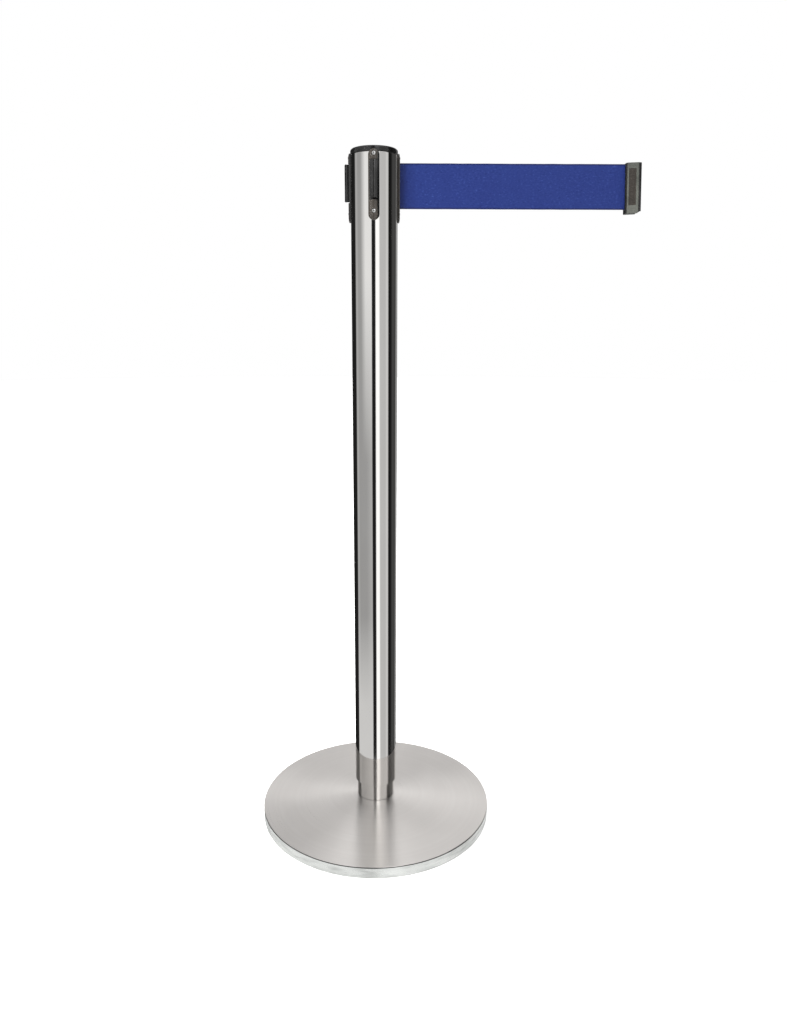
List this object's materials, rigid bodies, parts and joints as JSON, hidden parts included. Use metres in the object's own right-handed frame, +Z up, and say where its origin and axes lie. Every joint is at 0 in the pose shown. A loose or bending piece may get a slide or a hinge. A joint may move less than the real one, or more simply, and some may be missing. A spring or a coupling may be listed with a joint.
{
  "type": "retractable belt stanchion",
  "caption": "Free-standing queue post with a weighted round base, polished pole, sprung retractable webbing belt with an end clip, and receiver rails round its head",
  "frame": {"origin": "centre of the floor mat's underside, on the pole's axis", "axes": "+Z up along the pole, +X the way the belt leaves the head, -Y the front of the stanchion"},
  "size_m": [0.5018, 0.33, 0.915],
  "materials": {
    "rubber": "moulded rubber with shallow ring grooves",
    "cast_iron": "rough cast and painted",
    "brushed_cover": "spun stainless sheet, fine circular brushing",
    "mirror_steel": "mirror-polished stainless steel",
    "zinc": "bright zinc plate",
    "screw_steel": "bright nickel-plated pan head",
    "aluminium": "as cast and turned",
    "spring_steel": "blued spring strip",
    "bronze": "sintered bronze",
    "black_plastic": "black moulded ABS, satin",
    "clip_plastic": "dark grey moulded nylon, satin",
    "inner_plastic": "black moulded acetal",
    "drum_plastic": "natural acetal",
    "webbing": "blue polyester webbing, fine plain weave with woven edges"
  },
  "bodies": {
    "root": {"floor_mat": "rubber", "base_weight": "cast_iron", "base_cover": "brushed_cover", "base_collar": "mirror_steel", "bottom_plug": "aluminium", "tie_bolt": "zinc", "lock_washer": "zinc", "flat_washer": "zinc", "pole_tube": "mirror_steel", "top_cap": "black_plastic", "outlet_plate": "black_plastic", "receiver_front": "black_plastic", "receiver_left": "black_plastic", "receiver_back": "black_plastic", "plate_screw_outlet_upper": "screw_steel", "plate_screw_outlet_lower": "screw_steel", "plate_screw_front_upper": "screw_steel", "plate_screw_front_lower": "screw_steel", "plate_screw_left_upper": "screw_steel", "plate_screw_left_lower": "screw_steel", "plate_screw_back_upper": "screw_steel", "plate_screw_back_lower": "screw_steel", "cassette_body": "inner_plastic", "cassette_lid": "inner_plastic", "spring_cover": "inner_plastic", "lid_screw_1": "zinc", "lid_screw_2": "zinc", "lid_screw_3": "zinc", "cover_screw_1": "zinc", "cover_screw_2": "zinc", "cover_screw_3": "zinc", "lower_bush": "bronze", "upper_bush": "bronze", "clock_spring": "spring_steel", "spring_anchor_pin": "zinc", "belt_feed": "webbing"},
    "belt_end": {"clip_body": "clip_plastic", "clip_back": "clip_plastic", "clip_screw": "zinc", "clip_pin": "zinc", "belt_strap": "webbing"},
    "spool": {"spool_drum": "drum_plastic", "spool_axle": "zinc", "axle_clip": "spring_steel", "spring_arbor": "aluminium", "belt_roll": "webbing"}
  },
  "joints": [
    {"name": "belt_pull", "type": "slide", "parent": "root", "child": "belt_end", "axis": [1, 0, 0], "range_m": [-0.282, 1.68], "stiffness_N_per_m": 2, "springref_m": -2.3, "deforming": ["belt_strap"]},
    {"name": "spool_spin", "type": "hinge", "parent": "root", "child": "spool", "pos_m": [0, 0, 0.87], "axis": [0, 0, 1], "continuous": true, "deforming": ["clock_spring"]}
  ],
  "couplings": [
    {"joint": "spool_spin", "follows": "belt_pull", "rad_per_m": 64.6}
  ]
}
